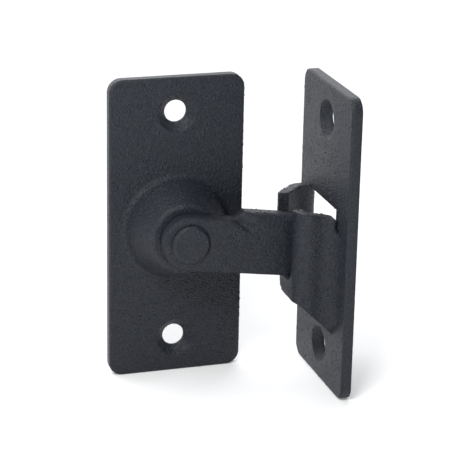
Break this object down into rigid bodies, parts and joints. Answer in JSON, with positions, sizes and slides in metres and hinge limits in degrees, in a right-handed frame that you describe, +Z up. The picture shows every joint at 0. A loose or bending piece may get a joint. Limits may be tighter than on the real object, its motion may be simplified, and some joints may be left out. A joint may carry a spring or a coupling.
{
  "type": "barn door latch",
  "caption": "Right-angle flip latch for a sliding barn door: base plate with hollow boss, swinging arm, and keeper plate with slotted seat.",
  "frame": {"origin": "centre of the base plate's back face", "axes": "+X from the base plate to the keeper, +Y from the room into the door, +Z up"},
  "size_m": [0.0627, 0.04, 0.09],
  "materials": {
    "black_powder_coat": "fine sand-textured black powder coat, satin"
  },
  "bodies": {
    "mounted_plates": {"base_plate": "black_powder_coat", "pivot_rivet": "black_powder_coat", "keeper_plate": "black_powder_coat"},
    "arm": {"latch_arm": "black_powder_coat"}
  },
  "joints": [
    {"name": "arm_hinge", "type": "hinge", "parent": "mounted_plates", "child": "arm", "pos_m": [0, -0.01615, 0], "axis": [0, -1, 0], "range_deg": [0, 316]}
  ]
}
